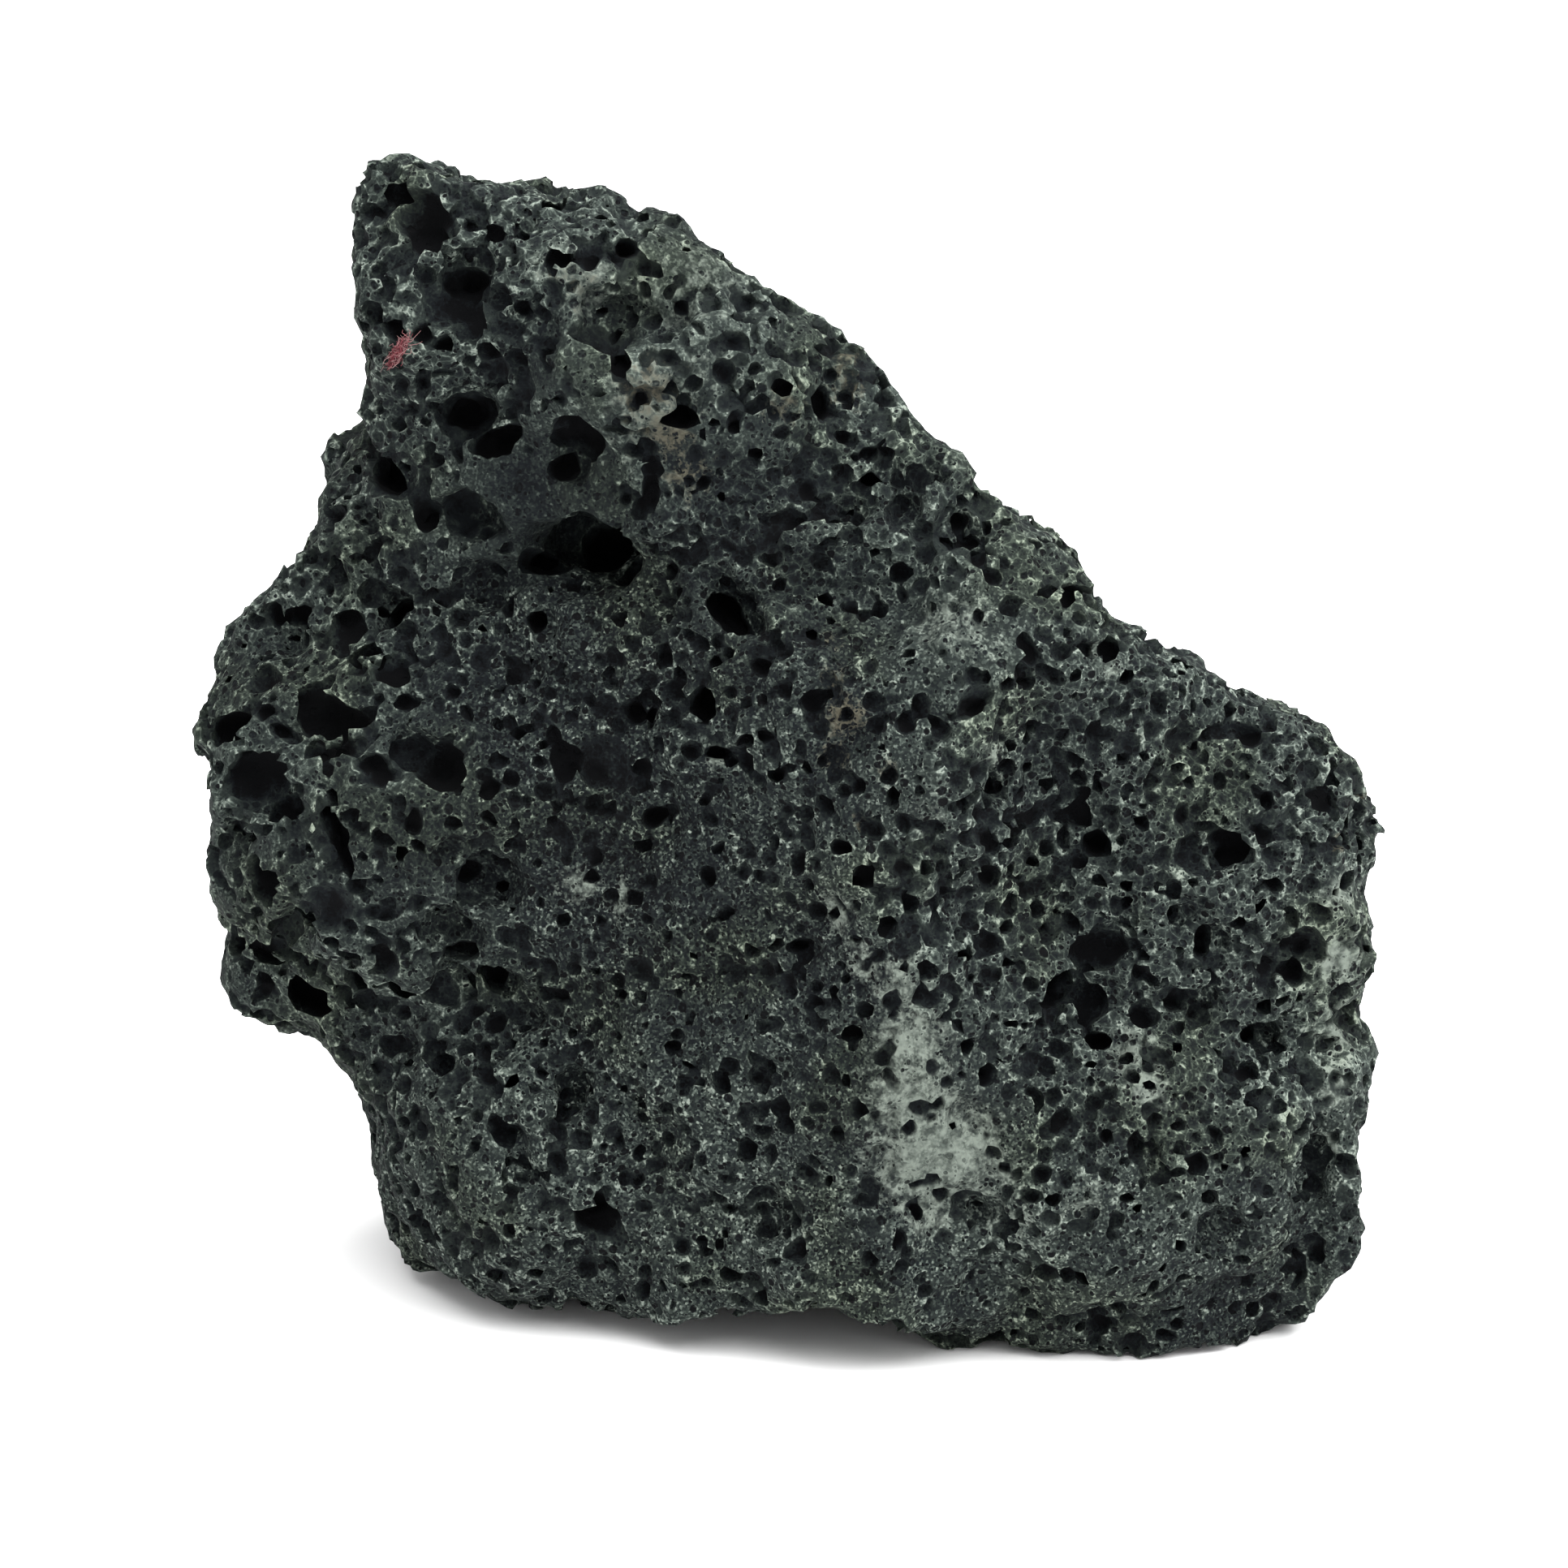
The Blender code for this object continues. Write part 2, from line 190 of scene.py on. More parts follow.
# the same values spread smoothly over more of them
def stretched(values, count, axis):
    places = np.linspace(0, values.shape[axis] - 1.001, count)  # just short of the last value
    base = places.astype(int)
    part = places - base
    part = (part * part * (3 - 2 * part)).astype(np.float32)
    shape = [1, 1, 1]
    shape[axis] = count
    part = part.reshape(shape)
    return np.take(values, base, axis) * (1 - part) + np.take(values, base + 1, axis) * part


# smooth noise from -1 to 1, one lump to each spacing in mm
def lumpy(shape, spacing):
    counts = [int(n * cell / spacing) + 3 for n in shape]  # with some to spare at the ends
    values = draw.uniform(-1, 1, counts).astype(np.float32)
    for axis in range(3):
        values = stretched(values, shape[axis], axis)
    return values


solid = distanceField(stone.data)
smooth = Field(solid.low, evened(solid.values, round(carving["evening"] / cell)))
skin = Field(solid.low, evened(solid.values, carving["softening"]))
for spacing, height in carving["lumps"]:
    skin.values += lumpy(skin.values.shape, spacing) * np.float32(height)
chance = Field(skin.low, lumpy(skin.values.shape, carving["changes"]))
print("skin", skin.values.shape)


# the bubbles wide enough to know one by one: across and up, then the opening's width and height in mm
# and its turn in degrees
knownBubbles = {
    "deepHoles": (
        (-49.4, 165.1, 6.2, 5.2, 0), (-26.6, 152.4, 4.2, 5.2, 0), (-50.2, 144.4, 6.2, 5.2, 0),
        (-61.6, 134.8, 7.8, 4.7, -38), (-17, 143.9, 5.2, 3.7, 0), (4.5, 146.5, 3.8, 5.2, 0),
        (-30, 124.7, 10, 8.4, 0), (-37, 122.3, 7.6, 4.4, 0), (-32, 128.8, 6, 6.4, 0),
        (-26.5, 121, 5, 5, 0), (-35.6, 135.8, 4.8, 4.4, 0), (-13.4, 100.4, 4.2, 6.2, 0),
        (-11.8, 93, 4.2, 2.8, 0), (-10.3, 114.4, 4.3, 10.8, 40), (-39.3, 113.2, 3.7, 5.2, 0),
        (-43.4, 115, 2.8, 3.7, 0), (-46.8, 71.8, 2.4, 2.4, 0), (-50.2, 62.7, 6.2, 3.0, 12),
        (-45.5, 58.9, 3.9, 5.6, 30), (-42.7, 43, 2.7, 2.7, 0), (60.9, 77.3, 2.5, 2.5, 0),
        (62.2, 65.1, 3.5, 4.7, 0), (40.4, 57.4, 7, 4.3, 38), (46.8, 49.1, 3.8, 2.7, 0),
        (70.1, 50.5, 5.4, 4.6, 0), (0.9, 63.7, 4.2, 2.3, 0), (-24.5, 99, 3.3, 3.3, 0),
        (-21.6, 83.1, 3.3, 3.1, 0), (-69.6, 79.7, 2.2, 13, 20), (-37, 176.3, 5.8, 3.4, 42),
        (-25.6, 170.5, 3.7, 2.8, -20), (46.1, 79, 4.2, 3.5, 0), (11.5, 134.8, 4.5, 2.8, 0),
    ),
    "bowls": (
        (-50.7, 162.8, 8, 10.5, 10), (-29, 157.1, 9.5, 8.5, 0), (-50.2, 144.4, 9, 7.5, 0),
        (60.9, 77.3, 6.4, 6.2, 0), (-81.9, 89, 10.5, 9, 0), (-82.3, 86.2, 5.2, 4.7, 0),
        (-47.7, 73.4, 8.5, 7.5, 0), (-53.4, 66.3, 8.5, 7.2, 0), (-53.6, 57.3, 6.8, 6.8, 0),
        (-77.6, 66.3, 5.7, 6.2, 0), (-50.2, 129.6, 7, 7.5, 0), (68.9, 38.6, 4.1, 3.6, 0),
        (-57.4, 153.1, 3.8, 4.8, 0), (-62, 176.5, 5.6, 4.3, 0), (-68, 112, 6, 6.5, 0),
        (5.6, 130.1, 4.7, 5.2, 0), (24.2, 127.3, 4.7, 6.2, 0), (46, 63, 9, 6, 20), (-36, 168, 5, 6, 0),
    ),
    "horn": (
        (-41.3, 170.7, 3.7, 4.3, 0), (-45, 170.8, 1.9, 1.9, 0), (-43.2, 158.1, 4.7, 2.8, 0),
        (-37.5, 155.2, 3.7, 4.7, 0), (-20.4, 156.7, 5.2, 3.7, 0), (-29.3, 173.8, 2.1, 2.1, 0),
        (-16.5, 169.2, 2.1, 2.5, 0), (-54.6, 146.2, 2.8, 3.3, 0), (-28.1, 138.7, 2.8, 2.1, 0),
        (-7.9, 159.1, 5.7, 2.8, 0), (-2.7, 154.3, 4.2, 4.2, 0), (4.8, 154.5, 4.2, 1.9, 0),
        (-5.6, 138.7, 2.8, 2.1, 0), (-16, 134.5, 2.1, 2.1, 0),
    ),
    "underHorn": (
        (-55.9, 128.8, 4.2, 5.2, 0), (-47, 126.8, 2.5, 2.5, 0), (-21.9, 114.5, 3.7, 3.7, 0),
        (-21.6, 132.5, 2.8, 6.2, 0), (-19.8, 107.5, 2.3, 3.1, 0), (-5.1, 105.9, 2.8, 2.3, 0),
        (2.2, 90.7, 2.3, 2.3, 0),
    ),
    "shoulder": (
        (1.9, 133, 2.8, 2.8, 0), (15.7, 129.6, 3.7, 5.2, 0), (28.1, 122.6, 2.3, 3.7, 0),
        (9.6, 121, 3.3, 3.7, 0), (4.2, 122.1, 4.2, 2.8, 0), (15.5, 86.8, 2.3, 2.3, 0),
        (22.1, 105.6, 2.1, 1.4, 0), (35.4, 103.4, 3.3, 2.3, 0), (44.3, 108.5, 3.3, 3.3, 0),
        (64.9, 96.5, 3.8, 2.6, 0), (74.3, 97.7, 3.8, 2.6, 0), (60.7, 100.2, 2.1, 2.6, 0),
        (73, 90.4, 4.7, 2.6, 0),
    ),
    "rightFace": (
        (40.1, 92.5, 2.1, 3.3, 0), (32.5, 90.9, 3.8, 3.8, 0), (36.2, 83.4, 3.3, 2.8, 0),
        (54.7, 86.2, 2.5, 2.5, 0), (29.9, 73.8, 3.3, 3.8, 0), (37, 69, 3.3, 3.3, 0),
        (46.6, 65.8, 3.8, 3.5, 0), (56.9, 68.8, 4.7, 4.2, 0), (51.3, 50.3, 2.5, 1.1, 0),
        (65.6, 55.5, 3.5, 1.7, 0), (59.3, 55.7, 5.6, 3.7, 0), (60.9, 58.9, 2, 2, 0),
        (58.5, 47.9, 2, 2, 0), (45.3, 45.3, 2, 2, 0), (36.1, 41.1, 1.9, 1.9, 0),
        (39.7, 40.6, 2.2, 2.7, 0), (52.3, 33.2, 3.1, 5.8, 0), (47.7, 34.5, 2.2, 2.2, 0),
        (62.8, 37.7, 3.1, 2.7, 0),
    ),
    "ridge": (
        (8.9, 73, 3.3, 1.9, 0), (3.5, 69.2, 2.8, 3.3, 0), (3.7, 57.5, 2.6, 2.6, 0),
        (26.3, 48.6, 2, 4.3, 0), (29.2, 43.7, 3.6, 3.6, 0), (28.6, 36.9, 2.5, 3.1, 0),
        (32.2, 29.6, 2.3, 2.3, 0), (31.9, 34, 2, 2, 0), (22, 40, 2.6, 2.6, 0),
        (26.7, 24.1, 5.2, 4.7, 0), (7.9, 43, 1.7, 3.5, 0), (-1, 36.5, 3.5, 2.6, 0),
        (10.8, 24.7, 4.3, 2.6, 0),
    ),
    "leftLobe": (
        (-78.3, 110.1, 3.6, 3.8, 0), (-73.4, 102.5, 3.3, 2.4, 0), (-47.3, 111.8, 2.1, 1.6, 0),
        (-42.8, 107.2, 2.8, 2.1, 0), (-58.6, 100.4, 5.2, 2.1, 0), (-77.6, 96.1, 5.2, 2.4, -25),
        (-58.1, 93.3, 6.2, 5.2, 0), (-63.8, 91.4, 3.6, 2.4, 0), (-51.1, 91.4, 2.8, 1.9, 0),
        (-66.4, 94.5, 2.4, 2.4, 0), (-27.8, 103.5, 1.8, 1.8, 0), (-76.2, 77.4, 3.8, 3.3, 0),
        (-37.9, 87.3, 3.3, 2.8, 0), (-50.8, 87.1, 1.8, 1.8, 0), (-52.9, 78.7, 4.2, 2.8, 0),
        (-41.8, 78.7, 2.4, 3.8, 0), (-76.1, 61.4, 4.2, 2.4, 0), (-80.4, 58.8, 3.4, 3.9, 0),
        (-65.4, 55.2, 3.9, 3, 0), (-42.1, 54.1, 3.9, 4.7, 0), (-61.5, 48.5, 4.7, 3.4, 0),
    ),
    "leftFoot": (
        (-53.8, 45.4, 4.2, 3.4, 0), (-47.4, 47.5, 2.6, 3.4, 0), (-40.8, 40.1, 2.1, 1.7, 0),
        (-58.5, 45.4, 2.1, 1.7, 0), (-44, 35.1, 4.2, 4.7, 0), (-39.7, 33.9, 1.6, 1.6, 0),
        (-47.3, 30.2, 2.6, 1.9, 0), (-51.7, 27.5, 2.6, 3.4, 0), (-32, 43.7, 2.6, 1.7, 0),
        (-22, 43, 2, 2, 0), (-35.5, 37.7, 3, 1.9, 0), (-39.3, 13.9, 2.6, 1.7, 0),
        (-34, 63.5, 2.1, 2.6, 0), (-26.1, 56.3, 2.6, 1.7, 0),
    ),
}

# what the stone is like region by region: across, up and reach in mm, then how many wide, middling and
# fine bubbles it has, from 0 to 1
regions = (
    (-54, 158, 13, 0.32, 1.0, 0.8),
    (-38, 170, 9, 0.25, 0.9, 0.8),
    (-30, 156, 9, 0.12, 0.6, 0.3),
    (-10, 160, 16, 0.08, 0.55, 0.4),
    (-14, 142, 9, 0.06, 0.55, 0.4),
    (6, 150, 10, 0.2, 0.8, 0.7),
    (-42, 133, 9, 0.0, 0.02, 0.3),
    (0, 128, 12, 0.15, 0.9, 0.9),
    (-72, 106, 13, 0.3, 0.8, 0.8),
    (-76, 84, 13, 0.32, 0.7, 0.6),
    (-58, 92, 10, 0.15, 0.6, 0.6),
    (-62, 64, 14, 0.32, 0.7, 0.7),
    (-34, 98, 14, 0.01, 0.45, 1.0),
    (-20, 76, 16, 0.0, 0.4, 1.0),
    (-18, 52, 16, 0.0, 0.35, 1.0),
    (10, 96, 12, 0.0, 0.45, 0.9),
    (24, 112, 9, 0.0, 0.15, 0.5),
    (36, 124, 12, 0.2, 0.9, 0.8),
    (34, 88, 10, 0.1, 1.0, 1.0),
    (58, 92, 16, 0.06, 1.0, 1.0),
    (50, 66, 18, 0.1, 1.0, 1.0),
    (62, 42, 13, 0.15, 1.0, 1.0),
    (20, 36, 10, 0.0, 0.15, 0.4),
    (-48, 36, 13, 0.1, 0.6, 0.9),
    (-30, 16, 16, 0.0, 0.34, 1.0),
    (0, 16, 20, 0.0, 0.28, 1.0),
    (44, 12, 18, 0.0, 0.36, 0.9),
    (80, 24, 10, 0.03, 0.3, 0.8),
)

# the same for the unseen sides, where it changes by chance: the mean, how far it swings, and the least
elsewhere = ((0.45, 1.1, 0.05), (0.6, 0.4, 0.2), (0.7, -0.5, 0.3))

seenFrom = {
    "fade": 0.3,  # how softly the front passes into the unseen sides, against facing the camera
    "noRegion": 1e-4,  # weight of a middling stone, where no region is near
}

bubbles = {
    "none": -9.0,  # mm, what stands where there is no bubble
    "depth": {"deepHoles": 2.2, "bowls": 0.75},  # of a known bubble, against half its opening
    "usualDepth": 1.0,
    "moreDepth": 0.3,  # mm
    "sink": 0.2,  # how far in its middle lies, against its depth
    "towardsView": 0.6,  # how far it opens towards the camera instead of straight out
    "radii": (4.8, 3.8, 3.0, 2.4, 2.0, 1.6, 1.3, 1.0),  # mm, of the random ones
    "spread": (0.85, 1.15),  # against those
    "cover": (0.14, 0.16, 0.2, 0.24, 0.28, 0.36, 0.46, 0.5),  # share of the skin tried for each
    "quadArea": 0.9,  # of the skin's quads, against a voxel's face
    "lobes": 2,  # smaller bubbles that have run into each wide one
    "lobeSize": (0.4, 0.75),  # against its own
    "lobeReach": 0.75,
    "wideAbove": 1.7,  # mm of radius
    "squash": (0.6, 1.15),  # of each half-axis, against the radius
    "sinkRange": (-0.35, 0.75),  # how far in their middles lie, against the radius
    "wideSinkRange": (-0.3, 0.85),
    "apart": (0.75, 0.1),  # least way to the next bubble, against the radius: the walled and the merged
    "merged": 0.3,  # share of them
    "ragged": ((6.0, 0.5), (2.5, 0.45), (1.2, 0.35)),  # spacing and height of what breaks their rims, mm
}

# mm inside a bubble, below zero outside them all
hollow = Field(skin.low, np.full(skin.values.shape, bubbles["none"], np.float32))


# sinks one bubble, an egg with its own axes, and lets its field fade over as much again
def hollowOut(centre, radii, axes):
    span = max(radii) * 2 + cell
    first = np.maximum(np.floor((centre - span) / cell - hollow.low).astype(int), 0)
    last = np.minimum(np.ceil((centre + span) / cell - hollow.low).astype(int) + 1, hollow.values.shape)
    if (last <= first).any():
        return
    x, y, z = [
        ((np.arange(first[i], last[i]) + hollow.low[i]) * cell - centre[i]).astype(np.float32)
        for i in range(3)
    ]
    x = x[:, None, None]
    y = y[None, :, None]
    away = np.sqrt(sum(((x * a[0] + y * a[1] + z * a[2]) / r) ** 2 for a, r in zip(axes, radii)))
    block = hollow.values[first[0] : last[0], first[1] : last[1], first[2] : last[2]]
    np.maximum(block, (1 - away) * min(radii), out=block)


# where the line of sight through a place in the view meets the stone, if it does, and its direction
def onStone(across, up, field=smooth):
    ray = sightThrough(across, up)
    line = shotPlace + ray * (shotDistance + np.arange(*shot["searched"])[:, None])
    met = np.nonzero(field.at(line) < 0)[0]
    return (line[met[0]] if len(met) else None), ray


# smaller bubbles that have run into a wide one
def sinkLobes(centre, radii, axes):
    for _ in range(bubbles["lobes"]):
        way = draw.normal(size=3)
        way /= np.linalg.norm(way)
        size = draw.uniform(*bubbles["lobeSize"])
        hollowOut(centre + (way * radii * bubbles["lobeReach"]) @ axes, radii * size, axes)


# each known bubble goes where its line of sight meets the evened stone
def sinkKnownBubbles():
    towards = bubbles["towardsView"]
    everyOne = [(kind, *bubble) for kind, group in knownBubbles.items() for bubble in group]
    for kind, across, up, width, height, turn in everyOne:
        place, ray = onStone(across, up)
        if place is None:
            continue
        facing = smooth.slope(place[None], carving["feltOver"])[0] * (1 - towards) - ray * towards
        facing /= np.linalg.norm(facing)
        angle = math.radians(turn)
        side = viewRight * math.cos(angle) + viewUp * math.sin(angle)
        side -= facing * side.dot(facing)
        side /= np.linalg.norm(side)
        deepness = bubbles["depth"].get(kind, bubbles["usualDepth"])
        deep = math.sqrt(width * height) / 2 * deepness + bubbles["moreDepth"]
        centre = place - facing * deep * bubbles["sink"]
        radii = np.array((width / 2, height / 2, deep))
        axes = np.array((side, np.cross(facing, side), facing))
        hollowOut(centre, radii, axes)
        if min(width, height) > 2 * bubbles["wideAbove"]:
            sinkLobes(centre, radii, axes)


# how many wide, middling and fine bubbles: by region in front, by chance elsewhere
def natureOf(points, facing):
    across, up = inView(points)
    total = np.full(len(points), seenFrom["noRegion"])
    shares = np.full((3, len(points)), seenFrom["noRegion"] / 2)
    for x, y, reach, *these in regions:
        weight = np.exp(-((across - x) ** 2 + (up - y) ** 2) / reach**2)
        total += weight
        shares += weight * np.array(these)[:, None]
    wild = chance.at(points)
    unseen = np.array([np.clip(mean + wild * swing, least, 1) for mean, swing, least in elsewhere])
    front = np.clip(facing / seenFrom["fade"] + 0.5, 0, 1)
    return front * shares / total + (1 - front) * unseen


# three random directions at right angles to each other, so many times
def randomAxes(count):
    first = draw.normal(size=(count, 3))
    second = np.cross(first, draw.normal(size=(count, 3)))
    third = np.cross(first, second)
    axes = np.stack([first, second, third], axis=1)
    return axes / np.linalg.norm(axes, axis=2, keepdims=True)


# random bubbles, the widest first
def scatterBubbles():
    points, quads = surfaceOf(skin)
    area = len(quads) * cell * cell * bubbles["quadArea"]
    count = 0
    for radius, cover in zip(bubbles["radii"], bubbles["cover"]):
        tries = int(cover * area / (math.pi * radius**2))
        chosen = points[draw.integers(0, len(points), tries)]
        outward = skin.slope(chosen)
        wide, middling, _ = natureOf(chosen, -(outward @ sightLine))
        isWide = radius > bubbles["wideAbove"]
        keep = draw.uniform(0, 1, tries) < (wide if isWide else middling)
        sizes = radius * draw.uniform(*bubbles["spread"], tries)
        sinkRange = bubbles["wideSinkRange" if isWide else "sinkRange"]
        centres = chosen - outward * (sizes * draw.uniform(*sinkRange, tries))[:, None]
        merged = draw.uniform(0, 1, tries) < bubbles["merged"]
        gaps = sizes * np.where(merged, bubbles["apart"][1], bubbles["apart"][0])
        stretch = draw.uniform(*bubbles["squash"], (tries, 3))
        axes = randomAxes(tries)
        spots = np.round(centres / cell - hollow.low).astype(int)
        spots = np.clip(spots, 0, np.array(hollow.values.shape) - 1)
        for i in np.nonzero(keep)[0]:
            if -hollow.values[tuple(spots[i])] > gaps[i]:
                hollowOut(centres[i], stretch[i] * sizes[i], axes[i])
                if isWide:
                    sinkLobes(centres[i], stretch[i] * sizes[i], axes[i])
                count += 1
    return count


sinkKnownBubbles()
print("bubbles", scatterBubbles())

for spacing, height in bubbles["ragged"]:
    hollow.values += lumpy(skin.values.shape, spacing) * np.float32(height)
carved = Field(skin.low, np.maximum(skin.values, hollow.values))
ground = int(round(-carved.low[2]))
underGround = carved.values[:, :, : ground + 1]
np.maximum(underGround, carving["cutOff"], out=underGround)
print("stone carved")


# which of so many things are in the biggest group that the links, rows of their numbers, hold together
def biggestGroup(count, links):
    label = np.arange(count)
    while True:
        lowest = label[links].min(axis=1)
        new = label.copy()
        for end in range(links.shape[1]):
            np.minimum.at(new, links[:, end], lowest)
        new = new[new]
        if (new == label).all():
            break
        label = new
    names, counts = np.unique(label, return_counts=True)
    return label == names[counts.argmax()]


# drops the points that no face uses
def usedOnly(points, faces):
    used = np.unique(faces)
    renumber = np.zeros(len(points), int)
    renumber[used] = np.arange(len(used))
    return points[used], renumber[faces]


def biggestPiece(points, faces):
    inside = biggestGroup(len(points), faces)
    return usedOnly(points, faces[inside[faces[:, 0]]])


# takes off the tiny flaps that thinning leaves on an edge: triangles count as neighbours only across an
# edge that no third one shares
def withoutFlaps(points, faces):
    edges = np.sort(faces[:, [0, 1, 1, 2, 2, 0]].reshape(-1, 2), axis=1).astype(np.int64)
    _, edge, uses = np.unique(edges @ (len(points), 1), return_inverse=True, return_counts=True)
    order = np.argsort(edge, kind="stable")
    neighbours = (order[uses[edge[order]] == 2] // 3).reshape(-1, 2)
    return usedOnly(points, faces[biggestGroup(len(faces), neighbours)])


def newMesh(name, points, faces):
    mesh = bpy.data.meshes.new(name)
    mesh.vertices.add(len(points))
    mesh.vertices.foreach_set("co", points.astype(np.float32).ravel())
    mesh.loops.add(faces.size)
    mesh.loops.foreach_set("vertex_index", faces.astype(np.int32).ravel())
    mesh.polygons.add(len(faces))
    mesh.polygons.foreach_set("loop_start", np.arange(0, faces.size, faces.shape[1], dtype=np.int32))
    mesh.update(calc_edges=True)
    return mesh


thinning = {
    "triangles": 196000,  # that are left
    "least": 0.15,  # how plain the front counts, where 1 is the plainest
    "turned": (0.15, 1.5),  # how far a side may face away before it counts as plainer, and how fast then
    "deep": (4.0, 0.5),  # mm below the skin, and how much plainer a place so deep counts
    "levels": 6,  # of plainness
    "strength": 0.75,  # how far the plain places are thinned before the others
    "sharpFrom": 38,  # degrees between two faces, from where on their edge is left sharp
}


# fewer triangles, most of them kept in the open and on the side that is seen first
def thinOut(piece, points):
    away, speed = thinning["turned"]
    deepest, more = thinning["deep"]
    facing = -(skin.slope(points) @ sightLine)
    deep = np.clip(-skin.at(points) / deepest, 0, 1)
    plain = np.clip(thinning["least"] - (facing + away) * speed + deep * more, thinning["least"], 1)
    levels = np.ceil(plain * thinning["levels"]).astype(int)
    group = piece.vertex_groups.new(name="plain")
    for level in range(1, thinning["levels"] + 1):
        members = np.nonzero(levels == level)[0].tolist()
        group.add(members, level / thinning["levels"], "REPLACE")
    thin = piece.modifiers.new("thin", "DECIMATE")
    thin.ratio = thinning["triangles"] / (2 * len(piece.data.polygons))
    thin.vertex_group = group.name
    thin.vertex_group_factor = thinning["strength"]
    graph = bpy.context.evaluated_depsgraph_get()
    piece.data = bpy.data.meshes.new_from_object(piece.evaluated_get(graph))
    piece.modifiers.clear()
    piece.vertex_groups.clear()


def makeRock():
    points, quads = biggestPiece(*surfaceOf(carved))
    rock = bpy.data.objects.new("lavaRock", newMesh("lavaRock", points * mm, quads))
    bpy.context.scene.collection.objects.link(rock)
    print("full mesh", len(quads), "quads")
    thinOut(rock, points)
    rock.data = newMesh("lavaRock", *withoutFlaps(*meshArrays(rock.data)))
    rock.data.shade_smooth()
    rock.data.set_sharp_from_angle(angle=math.radians(thinning["sharpFrom"]))
    return rock


rock = makeRock()
print("rock", len(rock.data.polygons), "faces")


# where the finish changes: across, up, reach in mm and strength; the shade patches are painted shade,
# darker under the horn and on faces turned from the light, and the light patches are painted light, paler
# where light falls, as along the right edge and near the bottom
patches = {
    "dust": (
        (16.6, 58, 4.5, 0.9), (17.5, 49, 5.5, 1.0), (18, 40, 7, 0.95), (21.5, 32, 10, 1.1),
        (21, 24, 6, 0.7), (30.5, 28.5, 4.5, 0.6), (54, 41.5, 3.2, 0.9), (52.5, 46, 5, 0.7),
        (24, 112, 7, 0.45), (47.5, 107, 3, 0.5), (29.5, 93, 3.5, 0.55), (20, 83, 4, 0.4),
        (7.5, 69, 3.5, 0.8), (11, 61.5, 3.5, 0.7), (-33, 73, 3, 0.7), (-26, 71, 2.8, 0.7),
        (-33, 166, 7, 0.5), (-22, 146, 8, 0.5), (-14, 163, 10, 0.4), (-16, 152, 7, 0.4),
        # the dust along the right edge, at 81 to 83 across, also pales the strip that light grazes there:
        # dust and painted light in one
        (34, 22, 7, 0.45), (44, 26, 5, 0.4), (83, 72, 4, 0.7), (83, 62, 4.5, 0.9), (83, 52, 4, 0.9),
        (82, 42, 4, 0.7), (81, 32, 4, 0.5), (-12, 92, 2.5, 0.5),
    ),
    "rust": (
        (8, 99, 4, 1.0), (5.5, 111, 3, 0.8), (6, 92.5, 3, 0.9), (14.5, 90.5, 2.5, 0.7), (9.5, 83, 2.5, 0.7),
        (8, 152, 4, 0.7), (83, 79.5, 1.8, 1.2), (86.5, 86, 1.8, 1.0), (6, 105, 4, 0.6),
        (-33, 165, 6, 0.5), (-22, 148, 6, 0.75), (-19, 142, 6, 0.85), (-16, 136, 5, 0.7),
        (8, 149, 5, 0.6), (-2, 146, 4.5, 0.7), (44, 56, 2.5, 0.6),
    ),
    "shade": (
        (-38, 132, 13, 1.0), (-10, 126, 15, 1.1), (-60, 134, 6, 0.4), (-38, 98, 24, 1.1),
        (-10, 107, 12, 1.1), (-28, 80, 20, 1.25), (33, 84, 9, 0.9), (6, 64, 10, 1.0), (-44, 157, 7, 0.5),
        (-60, 66, 16, 0.4), (8, 40, 7, 0.4), (66, 6, 9, 0.9), (50, 92, 14, 0.3), (46, 37, 7, 0.3),
        (-53, 80, 12, 1.0), (6, 97, 10, 0.8), (4, 112, 9, 0.7), (-38, 157, 6, 0.4),
    ),
    "light": (
        (-16, 162, 18, 0.7), (-20, 150, 12, 0.7), (10, 150, 10, 0.4), (22, 112, 12, 0.9), (16, 92, 9, 0.5),
        (14, 76, 9, 0.5), (84, 64, 9, 1.5), (82, 48, 10, 1.6), (80, 34, 9, 1.1), (-44, 22, 18, 0.4),
        (-10, 18, 22, 0.4), (34, 20, 14, 0.9), (52, 18, 10, 0.5), (48, 120, 10, 0.3), (-70, 112, 12, 0.3),
    ),
}


# how strong a kind of patch is at each point
def patchAt(name, points):
    total = np.zeros(len(points))
    for across, up, reach, strength in patches[name]:
        place, _ = onStone(across, up)
        if place is not None:
            away = ((points - place) ** 2).sum(axis=1)
            total = np.maximum(total, strength * np.exp(-away / reach**2))
    return total


# what the finish needs to know at each point, besides the patches; depth, near and wide also set where
# shade is painted into hollow places and where rims are paler
layers = {
    "mouth": 3.0,  # mm, the farthest from a bubble's wall that still counts
    "near": 2,  # voxels each way, over which the rock round a point is averaged
    "wide": 7,
}


def writeLayer(mesh, name, values):
    layer = mesh.attributes.new(name, "FLOAT", "POINT")
    layer.data.foreach_set("value", values.astype(np.float32))


def layRockLayers(rock):
    mesh = rock.data
    points = meshArrays(mesh)[0] / mm
    stuff = np.clip(0.5 - carved.values / cell, 0, 1)  # how full of rock each voxel is
    facing = -(smooth.slope(points, carving["feltOver"]) @ sightLine)
    _, middling, fine = natureOf(points, facing)
    writeLayer(mesh, "depth", -skin.at(points))
    mouth = skin.at(points) - hollow.at(points)
    writeLayer(mesh, "mouth", np.clip(mouth, -layers["mouth"], layers["mouth"]))
    for name in ("near", "wide"):
        writeLayer(mesh, name, Field(carved.low, evened(stuff, layers[name])).at(points))
    writeLayer(mesh, "fine", fine)
    writeLayer(mesh, "foam", middling)
    for name in patches:
        writeLayer(mesh, name, patchAt(name, points))


layRockLayers(rock)
print("layers laid")


